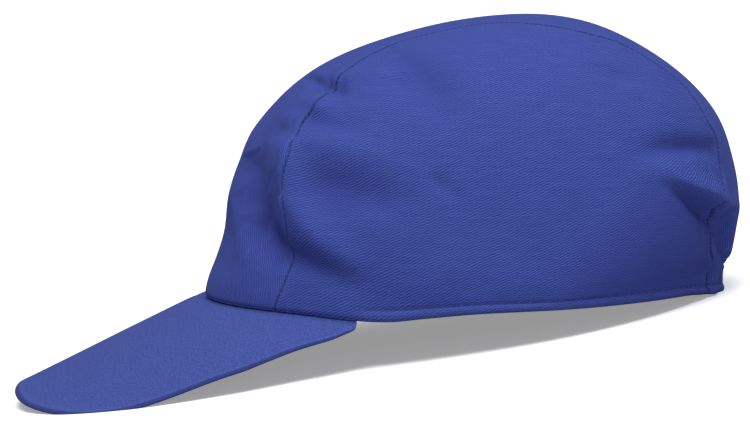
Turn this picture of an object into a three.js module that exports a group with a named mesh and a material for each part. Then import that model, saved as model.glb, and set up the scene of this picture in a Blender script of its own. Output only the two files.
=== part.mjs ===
// Three-panel sport cap of cotton twill, lying on a table by itself. A centre panel runs from the peak over
// the top to the back, a side panel closes each side, a hem is turned up inside the rim, and a stiff peak
// covered with cloth is sewn to the front of the rim.
// Millimetres, +Z up, front towards -Y, the wearer's left towards +X. The shape is worked out as the cap is
// worn, with a level rim, and is then tipped back until the peak's corners and the back of the hem touch
// the table.
import * as THREE from "three";

// Driving dimensions
const RIM = { halfWidth: 81, frontY: -98, earY: 10 };
const CLOTH = 1.2; // panel wall
const HEM = { wall: 1.2, height: 10.5, clear: 0.55, leansIn: 0.6, belowPeak: 4.4 };
const GAP = 0.3; // left between neighbouring pieces
const PEAK = {
  slopeDeg: 26,
  archFront: 137,
  archEnd: 113,
  tipY: -169.8,
  wideY: -82,
  halfWidth: 77,
  squareness: 2.12,
  endY: -44,
  wall: 3.6,
  endWall: 0.7,
  nose: 0.035, // share of the edge over which the wall rounds off at each end
  underCrown: 0.55,
};
const REST = { tipBackDeg: 9.276, lift: 14.928, forward: 32.249 };
const GATHERS = { pitch: 11, depth: 0.7, height: 28, halfWidth: 36 };
// The elastic also leans the lower sides in, more and more towards the back: read by y - z, and by x
const DRAW_IN = { depth: 7.5, from: 14, full: 80, clearX: 12, fullX: 42 };

// Facets along each piece
const STEPS = { centreWide: 18, sideLong: 30, sideHigh: 16, peakWide: 40, peakDeep: 8 };

// Side profile of the crown on its centre line, from the front of the rim over the top to the back
const PROFILE = [
  { y: -98, z: -0.9 },
  { y: -92.6, z: 15.4 },
  { y: -90.4, z: 24.4 },
  { y: -88.3, z: 37 },
  { y: -84.5, z: 49.4 },
  { y: -78.2, z: 63 },
  { y: -62, z: 79.8 },
  { y: -41.2, z: 91.4 },
  { y: -10, z: 100.8 },
  { y: 19, z: 104.7 },
  { y: 42.2, z: 103.2 },
  { y: 62, z: 96.2 },
  { y: 81.7, z: 83.4 },
  { y: 95.4, z: 68.2 },
  { y: 101.9, z: 51 },
  { y: 104.4, z: 34 },
  { y: 102, z: 17 },
  { y: 98.4, z: 7.8 },
  { y: 98.4, z: 0 },
];

// Half-width of the centre panel, by the angle round the ear-to-ear axis from the front of the rim
const CENTRE_WIDTH = [
  { deg: 0, half: 52.8 },
  { deg: 8, half: 54.2 },
  { deg: 15, half: 52.5 },
  { deg: 20, half: 55 },
  { deg: 24, half: 54.8 },
  { deg: 29, half: 52.4 },
  { deg: 36, half: 50.2 },
  { deg: 40, half: 47.3 },
  { deg: 44, half: 43.4 },
  { deg: 48, half: 43.2 },
  { deg: 53, half: 38.2 },
  { deg: 57, half: 34.6 },
  { deg: 62, half: 29 },
  { deg: 69, half: 23 },
  { deg: 78, half: 23.8 },
  { deg: 90, half: 24.2 },
  { deg: 102, half: 31 },
  { deg: 110, half: 32.6 },
  { deg: 116, half: 30 },
  { deg: 124, half: 29.6 },
  { deg: 132, half: 30 },
  { deg: 140, half: 34.5 },
  { deg: 145, half: 32.5 },
  { deg: 154, half: 36 },
  { deg: 160, half: 36.5 },
  { deg: 166, half: 33.8 },
  { deg: 173, half: 26.6 },
  { deg: 180, half: 25 },
];

// Height of the rim's lower edge along the cap
const RIM_LINE = [
  { y: -98, z: -0.9 },
  { y: -80, z: -1.1 },
  { y: -61, z: -1.6 },
  { y: -41, z: -2.9 },
  { y: -29, z: -2.8 },
  { y: -18, z: -1.5 },
  { y: 0, z: 0.3 },
  { y: 16, z: 1.1 },
  { y: 35, z: 1.4 },
  { y: 53, z: 1.7 },
  { y: 71, z: 2 },
  { y: 86, z: 2.1 },
  { y: 93, z: 1.4 },
  { y: 99, z: 0 },
];

// Soft folds and dents. Each is a run of points seen from its side of the cap, with how far the cloth stands
// out there (a dent is negative) and how wide the fold is.
const FOLDS = [
  {
    name: "valley down the front and across the side",
    side: 1,
    run: [
      { y: -78, z: 60, out: -0.6, wide: 6 },
      { y: -80, z: 54, out: -3.4, wide: 7 },
      { y: -80, z: 47, out: -5.6, wide: 7.5 },
      { y: -79.2, z: 40, out: -6.2, wide: 7.5 },
      { y: -77.3, z: 32.5, out: -6.2, wide: 7 },
      { y: -73.3, z: 24, out: -6, wide: 6.5 },
      { y: -67.3, z: 18, out: -6, wide: 5.5 },
      { y: -60.4, z: 15.8, out: -5.2, wide: 5 },
      { y: -50.3, z: 14, out: -3.8, wide: 5 },
      { y: -43.4, z: 11.6, out: -2, wide: 5.5 },
      { y: -36, z: 9.5, out: 0, wide: 6 },
    ],
  },
  {
    name: "ridge along the front seam and behind the valley",
    side: 1,
    run: [
      { y: -68, z: 66, out: 0.4, wide: 6 },
      { y: -67, z: 57.3, out: 2.4, wide: 7 },
      { y: -66.5, z: 50, out: 3.2, wide: 7 },
      { y: -65.5, z: 41.2, out: 3.2, wide: 7 },
      { y: -61, z: 32.3, out: 2.8, wide: 6.5 },
      { y: -53.5, z: 25, out: 2.8, wide: 6.5 },
      { y: -45.5, z: 19, out: 2, wide: 6 },
      { y: -38, z: 13, out: 0.3, wide: 6 },
    ],
  },
  {
    name: "ridge on the front",
    side: 1,
    run: [
      { y: -86.5, z: 36, out: 0.2, wide: 5 },
      { y: -84, z: 27, out: 1.2, wide: 6 },
      { y: -81, z: 18, out: 2, wide: 6.5 },
      { y: -79.4, z: 8, out: 2, wide: 6.5 },
      { y: -78, z: 3, out: 1, wide: 6 },
    ],
  },
  {
    name: "long shallow valley on the side",
    side: 1,
    run: [
      { y: -64, z: 47, out: -1, wide: 7 },
      { y: -54.7, z: 44.5, out: -3.2, wide: 8.5 },
      { y: -45, z: 43, out: -3.2, wide: 9 },
      { y: -32, z: 41.5, out: -2.2, wide: 8 },
      { y: -18, z: 40, out: -0.3, wide: 7 },
    ],
  },
  {
    name: "swell over the long valley",
    side: 1,
    run: [
      { y: -62, z: 60, out: 1, wide: 7 },
      { y: -47, z: 59, out: 2, wide: 7.5 },
      { y: -32, z: 55, out: 0.9, wide: 7 },
    ],
  },
  {
    name: "pucker at the front shoulder",
    side: 1,
    run: [
      { y: -58, z: 82.5, out: -2, wide: 4 },
      { y: -53.5, z: 81.5, out: -3.6, wide: 4.2 },
      { y: -48.5, z: 80, out: -2.8, wide: 4 },
      { y: -43.5, z: 78, out: -0.6, wide: 4 },
    ],
  },
  {
    name: "shallow valley below the shoulder",
    side: 1,
    run: [
      { y: -58.5, z: 68, out: -1.4, wide: 4 },
      { y: -43.5, z: 66, out: -1.1, wide: 5 },
    ],
  },
  {
    name: "dent under the top",
    side: 1,
    run: [
      { y: -28, z: 93, out: -1.4, wide: 6 },
      { y: -19.5, z: 86, out: -3.6, wide: 8.5 },
      { y: -12.5, z: 79, out: -2.6, wide: 8.5 },
      { y: -4, z: 69, out: -0.4, wide: 8 },
    ],
  },
  {
    name: "flare over the hem on the side",
    side: 1,
    run: [
      { y: -36, z: 5, out: 0, wide: 14 },
      { y: -14, z: 6, out: 1.8, wide: 15 },
      { y: 12, z: 7, out: 1.8, wide: 15 },
      { y: 32, z: 9, out: 0, wide: 14 },
    ],
  },
  {
    name: "dent behind the top",
    side: 1,
    run: [
      { y: 45, z: 88, out: -0.3, wide: 4 },
      { y: 53, z: 85, out: -1.6, wide: 4.5 },
      { y: 62, z: 84, out: -0.6, wide: 5 },
    ],
  },
  {
    name: "upper valley at the back",
    side: 1,
    run: [
      { y: 62, z: 58.5, out: -0.8, wide: 4.5 },
      { y: 71, z: 59, out: -3, wide: 4.2 },
      { y: 81, z: 59, out: -4, wide: 4.4 },
      { y: 92, z: 57, out: -2.2, wide: 4.5 },
    ],
  },
  {
    name: "ridge over the tuck at the back",
    side: 1,
    run: [
      { y: 60, z: 54, out: 0.4, wide: 4.5 },
      { y: 67, z: 50.5, out: 2.2, wide: 4 },
      { y: 77, z: 45.4, out: 3.6, wide: 4 },
      { y: 84.5, z: 41.6, out: 4.4, wide: 3.8 },
      { y: 95, z: 37, out: 4, wide: 3.8 },
    ],
  },
  {
    name: "swell over that ridge",
    side: 1,
    run: [
      { y: 84, z: 48, out: 0.6, wide: 6 },
      { y: 91, z: 46, out: 2.4, wide: 6.5 },
      { y: 96, z: 44.5, out: 3.4, wide: 6.5 },
    ],
  },
  {
    name: "tuck at the back",
    side: 1,
    run: [
      { y: 66, z: 45.5, out: -0.6, wide: 3 },
      { y: 73, z: 42.8, out: -3, wide: 3.4 },
      { y: 81, z: 37, out: -5.4, wide: 4 },
      { y: 87, z: 31.6, out: -6, wide: 4.4 },
      { y: 93, z: 28.6, out: -4, wide: 4.6 },
      { y: 98.5, z: 25, out: -2.2, wide: 5.5 },
      { y: 100.6, z: 21, out: -3, wide: 6 },
    ],
  },
  {
    name: "valley down the far front and across the far side",
    side: -1,
    run: [
      { y: -80, z: 58, out: 0, wide: 5 },
      { y: -79, z: 50, out: -2, wide: 5.5 },
      { y: -76, z: 33, out: -3.4, wide: 6 },
      { y: -70, z: 23, out: -4.4, wide: 6 },
      { y: -63, z: 17, out: -4.4, wide: 5.5 },
      { y: -52, z: 14, out: -3, wide: 6 },
      { y: -40, z: 10, out: 0, wide: 6 },
    ],
  },
  {
    name: "ridge behind the far valley",
    side: -1,
    run: [
      { y: -68, z: 60, out: 0.4, wide: 6 },
      { y: -67, z: 47, out: 2.2, wide: 6 },
      { y: -61, z: 33, out: 2.4, wide: 6.5 },
      { y: -52, z: 25, out: 2, wide: 6.5 },
      { y: -41, z: 17, out: 0.3, wide: 6 },
    ],
  },
  {
    name: "long shallow valley on the far side",
    side: -1,
    run: [
      { y: -60, z: 54, out: -0.6, wide: 6 },
      { y: -42, z: 50, out: -2, wide: 7 },
      { y: -20, z: 49, out: -0.4, wide: 7 },
    ],
  },
  {
    name: "pucker at the far front shoulder",
    side: -1,
    run: [
      { y: -54, z: 84, out: -1.2, wide: 3.8 },
      { y: -48, z: 82, out: -2, wide: 3.8 },
      { y: -42, z: 80, out: -0.4, wide: 4 },
    ],
  },
  {
    name: "dent under the far top",
    side: -1,
    run: [
      { y: -24, z: 90, out: -0.6, wide: 5 },
      { y: -12, z: 80, out: -1.6, wide: 6 },
      { y: -2, z: 71, out: -0.3, wide: 6 },
    ],
  },
  {
    name: "upper valley at the far back",
    side: -1,
    run: [
      { y: 62, z: 60, out: -0.6, wide: 5 },
      { y: 84, z: 57, out: -2, wide: 4.5 },
    ],
  },
  {
    name: "ridge over the far tuck",
    side: -1,
    run: [
      { y: 58, z: 51, out: 0.4, wide: 5 },
      { y: 76, z: 45.5, out: 2.4, wide: 4.5 },
      { y: 93, z: 38, out: 1.6, wide: 4.5 },
    ],
  },
  {
    name: "tuck at the far back",
    side: -1,
    run: [
      { y: 64, z: 41, out: -0.7, wide: 4 },
      { y: 79, z: 36, out: -4, wide: 4.5 },
      { y: 88, z: 29, out: -5.2, wide: 5 },
      { y: 94, z: 24, out: -3.8, wide: 5 },
    ],
  },
];

const rad = THREE.MathUtils.degToRad;
const { clamp, lerp, smoothstep } = THREE.MathUtils;

// Smooth reading of a table whose rows are joined by a curve through them
function readSmooth(rows, by, out, value) {
  let i = 0;
  while (i < rows.length - 2 && value > rows[i + 1][by]) i += 1;
  const slope = (k) => {
    const before = rows[Math.max(k - 1, 0)];
    const after = rows[Math.min(k + 1, rows.length - 1)];
    return (after[out] - before[out]) / (after[by] - before[by]);
  };
  const span = rows[i + 1][by] - rows[i][by];
  const t = clamp((value - rows[i][by]) / span, 0, 1);
  const t2 = t * t;
  const t3 = t2 * t;
  return (
    (2 * t3 - 3 * t2 + 1) * rows[i][out] +
    (t3 - 2 * t2 + t) * span * slope(i) +
    (3 * t2 - 2 * t3) * rows[i + 1][out] +
    (t3 - t2) * span * slope(i + 1)
  );
}

// The plain dome: rays turn round the ear-to-ear axis, from the front of the rim at 0 to the back at pi
const profileCurve = new THREE.CatmullRomCurve3(
  PROFILE.map((p) => new THREE.Vector3(0, p.y, p.z)),
  false,
  "catmullrom",
  0.5,
);
const profileRays = profileCurve.getPoints(900).map((p) => ({
  angle: Math.atan2(p.z, RIM.earY - p.y),
  reach: Math.hypot(p.z, p.y - RIM.earY),
}));

function reach(angle) {
  let low = 0;
  let high = profileRays.length - 1;
  while (high - low > 1) {
    const middle = (low + high) >> 1;
    if (profileRays[middle].angle > angle) high = middle;
    else low = middle;
  }
  const a = profileRays[low];
  const b = profileRays[high];
  return lerp(a.reach, b.reach, (angle - a.angle) / (b.angle - a.angle));
}

function rayAngle(y, z) {
  const angle = Math.atan2(z, RIM.earY - y);
  return angle < -Math.PI / 2 ? angle + 2 * Math.PI : angle;
}

// An ellipse at the rim that grows fuller over the top
function fullness(angle) {
  const lift = Math.sin(clamp(angle, 0, Math.PI)) ** 1.2;
  return { across: 2 + 0.95 * lift, along: 2 + 0.5 * lift };
}

function domeAt(angle, x) {
  const { across, along } = fullness(angle);
  const share = Math.max(1 - (Math.abs(x) / RIM.halfWidth) ** across, 0);
  const r = reach(angle) * share ** (1 / along);
  return new THREE.Vector3(x, RIM.earY - r * Math.cos(angle), r * Math.sin(angle));
}

function domeSide(side, y, z) {
  const angle = rayAngle(y, z);
  const { across, along } = fullness(angle);
  const share = Math.max(1 - (Math.hypot(y - RIM.earY, z) / reach(angle)) ** along, 0);
  return new THREE.Vector3(side * RIM.halfWidth * share ** (1 / across), y, z);
}

// How far outside the plain dome a point lies, as a share
function outside(x, y, z) {
  const angle = rayAngle(y, z);
  const { across, along } = fullness(angle);
  const r = Math.hypot(y - RIM.earY, z) / reach(angle);
  return r ** along + (Math.abs(x) / RIM.halfWidth) ** across - 1;
}

function domeNormal(p) {
  const h = 0.4;
  return new THREE.Vector3(
    outside(p.x + h, p.y, p.z) - outside(p.x - h, p.y, p.z),
    outside(p.x, p.y + h, p.z) - outside(p.x, p.y - h, p.z),
    outside(p.x, p.y, p.z + h) - outside(p.x, p.y, p.z - h),
  ).normalize();
}

// The nearest point of a fold's run, seen from the side, lifted on to the dome
function foldPush(fold, p) {
  let best = { distance: Infinity };
  for (let i = 0; i + 1 < fold.run.length; i += 1) {
    const a = fold.run[i];
    const b = fold.run[i + 1];
    const [dy, dz] = [b.y - a.y, b.z - a.z];
    const t = clamp(((p.y - a.y) * dy + (p.z - a.z) * dz) / (dy * dy + dz * dz), 0, 1);
    const on = domeSide(fold.side, lerp(a.y, b.y, t), lerp(a.z, b.z, t));
    const distance = on.distanceTo(p);
    if (distance < best.distance) {
      best = { distance, out: lerp(a.out, b.out, t), wide: lerp(a.wide, b.wide, t) };
    }
  }
  return best.out * Math.exp(-((best.distance / best.wide) ** 2));
}

// Upright gathers where the elastic draws the back of the rim in
function gatherPush(p) {
  const middle = 1 - smoothstep(Math.abs(p.x), GATHERS.halfWidth - 8, GATHERS.halfWidth);
  const back = smoothstep(p.y, 78, 92) * middle;
  const low = 1 - smoothstep(p.z, 6, GATHERS.height);
  return GATHERS.depth * back * low * Math.cos((2 * Math.PI * p.x) / GATHERS.pitch);
}

// How far the elastic leans the lower sides in
function drawPush(p) {
  const back = smoothstep(p.y - p.z, DRAW_IN.from, DRAW_IN.full);
  return -DRAW_IN.depth * back * smoothstep(Math.abs(p.x), DRAW_IN.clearX, DRAW_IN.fullX);
}

// A point of the plain dome, moved on to the finished outside of the cloth
function dress(p) {
  const clearOfHem = smoothstep(p.z, 1, 12);
  const folded = FOLDS.reduce((sum, fold) => sum + foldPush(fold, p), 0) * clearOfHem;
  const push = folded + gatherPush(p) + drawPush(p);
  const moved = domeNormal(p).multiplyScalar(push).add(p);
  const nearRim = clamp(1 - p.z / 30, 0, 1) ** 2;
  moved.z += readSmooth(RIM_LINE, "y", "z", p.y) * nearRim;
  return moved;
}

// A dressed point and the one `depth` below it, square to the finished surface
function throughCloth(p, depth) {
  const h = 0.3;
  const n = domeNormal(p);
  const across = new THREE.Vector3(0, 0, 1).cross(n).lengthSq() > 0.01
    ? new THREE.Vector3(0, 0, 1).cross(n).normalize()
    : new THREE.Vector3(1, 0, 0);
  const along = n.clone().cross(across);
  const step = (v, s) => dress(p.clone().addScaledVector(v, s));
  const u = step(across, h).sub(step(across, -h));
  const v = step(along, h).sub(step(along, -h));
  return dress(p).addScaledVector(u.cross(v).normalize(), -depth);
}

// The table, seen in the worn frame: nothing of the rim goes below it
const tip = rad(-REST.tipBackDeg);
const tableZ = (y) => -(REST.lift + y * Math.sin(tip)) / Math.cos(tip);
const onTable = (p) => p.setZ(Math.max(p.z, tableZ(p.y)));

// A closed skin from an outer and an inner grid of points, both indexed [row][column]
function skin(outer, inner) {
  const rows = outer.length;
  const columns = outer[0].length;
  const points = [...outer.flat(), ...inner.flat()];
  const at = (layer, r, c) => layer * rows * columns + r * columns + c;
  const index = [];
  const quad = (a, b, c, d) => {
    const split = points[a].distanceTo(points[c]) <= points[b].distanceTo(points[d]);
    index.push(...(split ? [a, b, c, a, c, d] : [a, b, d, b, c, d]));
  };
  for (let r = 0; r + 1 < rows; r += 1) {
    for (let c = 0; c + 1 < columns; c += 1) {
      quad(at(0, r, c), at(0, r, c + 1), at(0, r + 1, c + 1), at(0, r + 1, c));
      quad(at(1, r, c), at(1, r + 1, c), at(1, r + 1, c + 1), at(1, r, c + 1));
    }
  }
  for (let r = 0; r + 1 < rows; r += 1) {
    quad(at(0, r + 1, 0), at(1, r + 1, 0), at(1, r, 0), at(0, r, 0));
    quad(at(0, r, columns - 1), at(1, r, columns - 1), at(1, r + 1, columns - 1), at(0, r + 1, columns - 1));
  }
  for (let c = 0; c + 1 < columns; c += 1) {
    quad(at(0, 0, c), at(1, 0, c), at(1, 0, c + 1), at(0, 0, c + 1));
    quad(at(0, rows - 1, c + 1), at(1, rows - 1, c + 1), at(1, rows - 1, c), at(0, rows - 1, c));
  }
  return new THREE.BufferGeometry().setFromPoints(points).setIndex(index);
}

// A closed bar lofted through sections of equally many points: a ring if `round`, or else with flat ends
function loft(sections, round) {
  const n = sections[0].length;
  const points = sections.flat();
  const index = [];
  const last = round ? sections.length : sections.length - 1;
  for (let s = 0; s < last; s += 1) {
    const next = (s + 1) % sections.length;
    for (let k = 0; k < n; k += 1) {
      const [a, b] = [s * n + k, s * n + ((k + 1) % n)];
      const [c, d] = [next * n + ((k + 1) % n), next * n + k];
      index.push(a, b, c, a, c, d);
    }
  }
  if (!round) {
    const end = (sections.length - 1) * n;
    for (let k = 1; k + 1 < n; k += 1) {
      index.push(0, k + 1, k, end, end + k, end + k + 1);
    }
  }
  return new THREE.BufferGeometry().setFromPoints(points).setIndex(index);
}

const spread = (count, make) => Array.from({ length: count + 1 }, (_, i) => make(i / count));
const twill = () => new THREE.MeshStandardMaterial({ color: 0x3f509c, roughness: 0.9, metalness: 0 });

// The angles where a side panel's front, top and back edges meet
const SHOULDER = { front: 50, back: 140 };
const rise = (t) => 1 - (1 - t) ** 1.3;

// Steps from 0 to 1 that lie closer together towards both ends
const crowded = (t, share) => lerp(t, (1 + Math.sin(Math.PI * (t - 0.5))) / 2, share);

// Angles of the facets along the seam, which both panels share so that they stay apart at the folds
function seamAngles() {
  const front = spread(STEPS.sideHigh, (t) => SHOULDER.front * rise(t));
  const along = (t) => lerp(SHOULDER.front, SHOULDER.back, crowded(t, 0.7));
  const top = spread(STEPS.sideLong, along).slice(1, -1);
  const back = spread(STEPS.sideHigh, (t) => lerp(180, SHOULDER.back, rise(t))).reverse();
  return [...front, ...top, ...back];
}

// The centre panel, from seam to seam
function centrePanel() {
  const point = (deg, across, depth) => {
    const half = readSmooth(CENTRE_WIDTH, "deg", "half", deg) - GAP / 2;
    return onTable(throughCloth(domeAt(rad(deg), half * across), depth));
  };
  const layer = (depth) =>
    seamAngles().map((deg) => spread(STEPS.centreWide, (t) => point(deg, 2 * t - 1, depth)));
  return new THREE.Mesh(skin(layer(0), layer(CLOTH)), twill());
}

// A point of the seam line on the plain dome, on the side panel's side of the gap
function seamPoint(side, deg) {
  return domeAt(rad(deg), side * (readSmooth(CENTRE_WIDTH, "deg", "half", deg) + GAP / 2));
}

// A side panel: a four-sided patch, seen from the side, between the rim and the two runs of the seam
function sidePanel(side) {
  const [cornerA, cornerB] = [seamPoint(side, 0), seamPoint(side, 180)];
  const [cornerC, cornerD] = [seamPoint(side, SHOULDER.front), seamPoint(side, SHOULDER.back)];
  const point = (along, up, depth) => {
    const low = new THREE.Vector3().lerpVectors(cornerA, cornerB, along);
    const high = seamPoint(side, lerp(SHOULDER.front, SHOULDER.back, along));
    const front = seamPoint(side, SHOULDER.front * rise(up));
    const back = seamPoint(side, lerp(180, SHOULDER.back, rise(up)));
    const mix = (axis) =>
      lerp(low[axis], high[axis], up) +
      lerp(front[axis], back[axis], along) -
      lerp(lerp(cornerA[axis], cornerB[axis], along), lerp(cornerC[axis], cornerD[axis], along), up);
    return onTable(throughCloth(domeSide(side, mix("y"), Math.max(mix("z"), 0)), depth));
  };
  const layer = (depth) =>
    spread(STEPS.sideLong, (t) => spread(STEPS.sideHigh, (up) => point(crowded(t, 0.7), up, depth)));
  return new THREE.Mesh(side < 0 ? skin(layer(0), layer(CLOTH)) : skin(layer(CLOTH), layer(0)), twill());
}

// A point of the plain dome at an angle round the rim, 0 at the front, and a height above it
function rimPoint(turn, z) {
  const towards = { x: Math.sin(turn), y: -Math.cos(turn) };
  let [low, high] = [20, 140];
  for (let i = 0; i < 40; i += 1) {
    const middle = (low + high) / 2;
    if (outside(middle * towards.x, RIM.earY + middle * towards.y, z) > 0) high = middle;
    else low = middle;
  }
  return new THREE.Vector3(low * towards.x, RIM.earY + low * towards.y, z);
}

const peakEndTurn = Math.acos((RIM.earY - PEAK.endY) / Math.hypot(RIM.earY - PEAK.endY, 74));

// Angles round the rim at the columns of the panels, so that the hem has its facets where they have theirs
function rimTurns() {
  const turnOf = (p) => Math.atan2(p.x, RIM.earY - p.y);
  const seam = (deg) => readSmooth(CENTRE_WIDTH, "deg", "half", deg) - GAP / 2;
  const front = spread(STEPS.centreWide, (t) => turnOf(domeAt(0, seam(0) * (2 * t - 1))));
  const back = spread(STEPS.centreWide, (t) => turnOf(domeAt(Math.PI, seam(180) * (1 - 2 * t))));
  const side = spread(STEPS.sideLong, (t) => {
    const y = lerp(seamPoint(1, 0).y, seamPoint(1, 180).y, crowded(t, 0.7));
    return turnOf(domeSide(1, y, 0));
  }).slice(1, -1);
  const farSide = side.map((turn) => -turn).reverse();
  return [...front, ...side, ...back, ...farSide];
}

// The hem: cloth turned up inside the rim, and drawn down behind the peak's sewn edge
function rimHem() {
  const heights = [0, 0.5, 1].map((t) => t * HEM.height);
  const section = (turn) => {
    const behindPeak = 1 - smoothstep(Math.abs(turn), peakEndTurn - 0.12, peakEndTurn + 0.04);
    const wall = (depth) =>
      heights.map((z) => {
        const p = throughCloth(rimPoint(turn, z), depth + (HEM.leansIn * z) / HEM.height);
        p.z -= z === 0 ? HEM.belowPeak * behindPeak : 0;
        return onTable(p);
      });
    const outerWall = wall(CLOTH + HEM.clear);
    const innerWall = wall(CLOTH + HEM.clear + HEM.wall);
    return [...innerWall, ...outerWall.reverse()];
  };
  return new THREE.Mesh(loft(rimTurns().map(section), true), twill());
}

// Height of the peak's top face before it is drawn up to the rim: an arch across a straight, sloping crest
function peakTop(x, y) {
  const crest = PROFILE[0].z + Math.tan(rad(PEAK.slopeDeg)) * (y - RIM.frontY);
  const t = clamp((y - RIM.frontY) / (PEAK.endY - RIM.frontY), 0, 1);
  const radius = 1 / lerp(1 / PEAK.archFront, 1 / PEAK.archEnd, t);
  return crest - (radius - Math.sqrt(radius ** 2 - x ** 2));
}

// Plan of the peak's outer edge from its tip (0) to its end (1): a rounded square front, then in to the rim
function peakEdge(end) {
  const front = spread(60, (t) => {
    const a = (t * Math.PI) / 2;
    const power = 2 / PEAK.squareness;
    return new THREE.Vector2(
      PEAK.halfWidth * Math.sin(a) ** power,
      PEAK.wideY + (PEAK.tipY - PEAK.wideY) * Math.cos(a) ** power,
    );
  });
  const path = [...front, new THREE.Vector2(end.x, end.y)];
  const lengths = path.reduce((all, p, i) => [...all, i ? all[i - 1] + p.distanceTo(path[i - 1]) : 0], []);
  return (share) => {
    const at = share * lengths.at(-1);
    let i = 0;
    while (i < path.length - 2 && at > lengths[i + 1]) i += 1;
    return path[i].clone().lerp(path[i + 1], (at - lengths[i]) / (lengths[i + 1] - lengths[i]));
  };
}

function peak() {
  const end = throughCloth(rimPoint(peakEndTurn, 0), -1.2);
  const edge = peakEdge(end);
  const roundSteps = 4;
  const section = (across) => {
    const side = Math.sign(across) || 1;
    const sewn = throughCloth(rimPoint(across * peakEndTurn, 0), CLOTH);
    const rimZ = dress(rimPoint(across * peakEndTurn, 0)).z;
    const outer = edge(Math.abs(across));
    outer.x *= side;
    const pastNose = Math.max((Math.abs(across) - 1) / PEAK.nose + 1, 0);
    const wall = lerp(PEAK.endWall, PEAK.wall, Math.sqrt(Math.max(1 - pastNose ** 2, 0)));
    const lift = rimZ - PEAK.underCrown - peakTop(sewn.x, sewn.y);
    const width = Math.hypot(outer.x - sewn.x, outer.y - sewn.y);
    const inward = new THREE.Vector2(sewn.x - outer.x, sewn.y - outer.y).normalize();
    const top = (fromSewn) => {
      const x = sewn.x - inward.x * fromSewn;
      const y = sewn.y - inward.y * fromSewn;
      return new THREE.Vector3(x, y, peakTop(x, y) + lift * Math.exp(-((fromSewn / 14) ** 2)));
    };
    const flat = width - wall / 2;
    const face = spread(STEPS.peakDeep, (t) => top(flat * t));
    const under = face.map((p) => p.clone().setZ(p.z - wall)).reverse();
    const fold = spread(roundSteps, (t) => {
      const a = Math.PI * (0.5 - t);
      const p = top(flat + (wall / 2) * Math.cos(a));
      p.z += (wall / 2) * (Math.sin(a) - 1);
      return p;
    }).slice(1, -1);
    return [...face, ...fold, ...under];
  };
  const sections = spread(STEPS.peakWide, (t) => section(2 * crowded(t, 0.5) - 1));
  const board = new THREE.MeshStandardMaterial({ color: 0x4859a1, roughness: 0.85, metalness: 0 });
  return new THREE.Mesh(loft(sections, false), board);
}

const cap = new THREE.Group();
const pieces = {
  centre_panel: centrePanel(),
  side_panel_left: sidePanel(1),
  side_panel_right: sidePanel(-1),
  rim_hem: rimHem(),
  peak: peak(),
};
for (const [name, mesh] of Object.entries(pieces)) {
  mesh.name = name;
  cap.add(mesh);
}
cap.rotation.x = tip;
cap.position.set(0, REST.forward, REST.lift);

export default cap;
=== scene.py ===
"""A three-panel sport cap of blue cotton twill, lying on a white table."""
import math

import bpy
import numpy as np
from mathutils import Matrix, Vector


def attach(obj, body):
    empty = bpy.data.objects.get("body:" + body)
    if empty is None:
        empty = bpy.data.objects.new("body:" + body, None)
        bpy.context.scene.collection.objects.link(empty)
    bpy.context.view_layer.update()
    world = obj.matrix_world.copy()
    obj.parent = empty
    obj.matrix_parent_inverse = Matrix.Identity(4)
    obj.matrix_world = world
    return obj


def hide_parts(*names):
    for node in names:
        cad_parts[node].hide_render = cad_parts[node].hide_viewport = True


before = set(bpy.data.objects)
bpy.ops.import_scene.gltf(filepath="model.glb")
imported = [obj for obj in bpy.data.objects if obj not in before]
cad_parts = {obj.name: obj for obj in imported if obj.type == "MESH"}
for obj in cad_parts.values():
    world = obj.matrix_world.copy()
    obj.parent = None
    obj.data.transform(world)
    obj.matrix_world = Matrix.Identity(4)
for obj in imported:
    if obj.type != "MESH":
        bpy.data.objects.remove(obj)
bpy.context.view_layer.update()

# Centre panel: one long strip of blue cotton twill, cut with its warp lengthwise. It runs from the peak over
# the head to the elastic at the back, and a plain seam joins it to a side panel along each edge.

mm = 0.001
cloth_wall = 1.2
# the panels' edges lap by this much where they meet, so that nothing pale shows through a seam
seam_lap = 0.06
rim_half_width = 81.0
ear_y = 10.0
peak_end_y = -44.0
rim_fade = 8
rest_tip_back = math.radians(9.276)
rest_lift = 14.928
rest_forward = 32.249
ray_count = 901
seam_steps = 700
# the dome's curves are ellipses at the rim and fuller towards the top
plain_power = 2
fuller = {"across": 0.95, "along": 0.5, "rise": 1.2}
# the elastic gathers the back of the rim and draws its sides in
gathers = {"pitch": 11.0, "depth": 0.7, "height": 28.0, "full_below": 6.0, "half_width": 36.0, "fade": 8.0,
           "from_y": 78.0, "full_y": 92.0}
draw_in = {"depth": 4.6, "from": 14.0, "full": 80.0, "clear_x": 12.0, "full_x": 42.0}
# a seam's groove, the allowances that lift the cloth beside it, and the puckers between its stitches
seam_form = {"deep": 0.9, "wide": 0.42, "allowance": 0.1, "allowance_at": 2.4, "allowance_wide": 1.6,
             "stitch": 2.5, "wander": 11, "uneven": 0.25, "pucker": 0.16, "pucker_wide": 1.6}
# the hem's roll below its stitches, the dent of the stitches, and the edge, which is rounder over the peak
hem_form = {"stitches_at": 3.4, "roll": 0.35, "dent": 0.5, "dent_wide": 0.55, "edge": 0.45, "edge_wide": 0.6,
            "over_peak": 0.3, "over_peak_wide": 0.9}
# folds set in between these heights above the rim, and the rim's own rise and fall ends at this height
fold_fade = (1, 12)
rim_line_reach = 30

# y and z of the centre line, from the front of the rim over the top to the back
profile = [
    (-98, -0.9), (-96.4, 6), (-92.7, 15.4), (-90.1, 24.4), (-88.6, 37), (-84.6, 49.4), (-78.2, 63),
    (-62, 79.8), (-41.2, 91.4), (-10, 100.8), (19, 104.7), (42.2, 103.2), (62, 96.2), (81.7, 83.4),
    (95.4, 68.2), (101.9, 51), (104.4, 34), (102, 17), (98.4, 7.8), (98.4, 0),
]
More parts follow.
